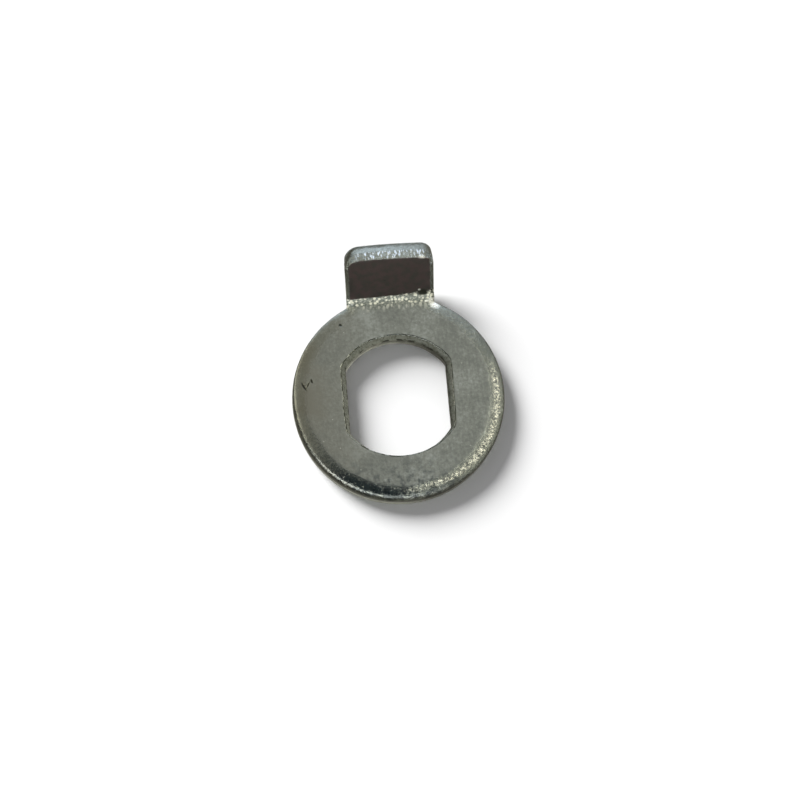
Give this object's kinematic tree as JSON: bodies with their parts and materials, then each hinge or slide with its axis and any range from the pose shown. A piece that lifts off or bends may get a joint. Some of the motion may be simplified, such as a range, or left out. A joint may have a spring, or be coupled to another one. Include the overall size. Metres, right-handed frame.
{
  "type": "anti-rotation washer",
  "caption": "Round steel washer with a double-D axle hole and one folded-up tab that stops the axle from turning.",
  "frame": {"origin": "on the axis of the axle hole, in the plane of the bottom face, which is the seat", "axes": "+Z along the hole axis, out of the upper face that the tab stands up from; +Y from the hole axis towards the tab; +X completes a right-handed frame"},
  "size_m": [0.0214, 0.0257, 0.0068],
  "materials": {
    "zinc_plate": "bright zinc plate on blanked and folded steel sheet, tumbled, a little worn"
  },
  "bodies": {
    "root": {"washer": "zinc_plate"}
  },
  "joints": []
}
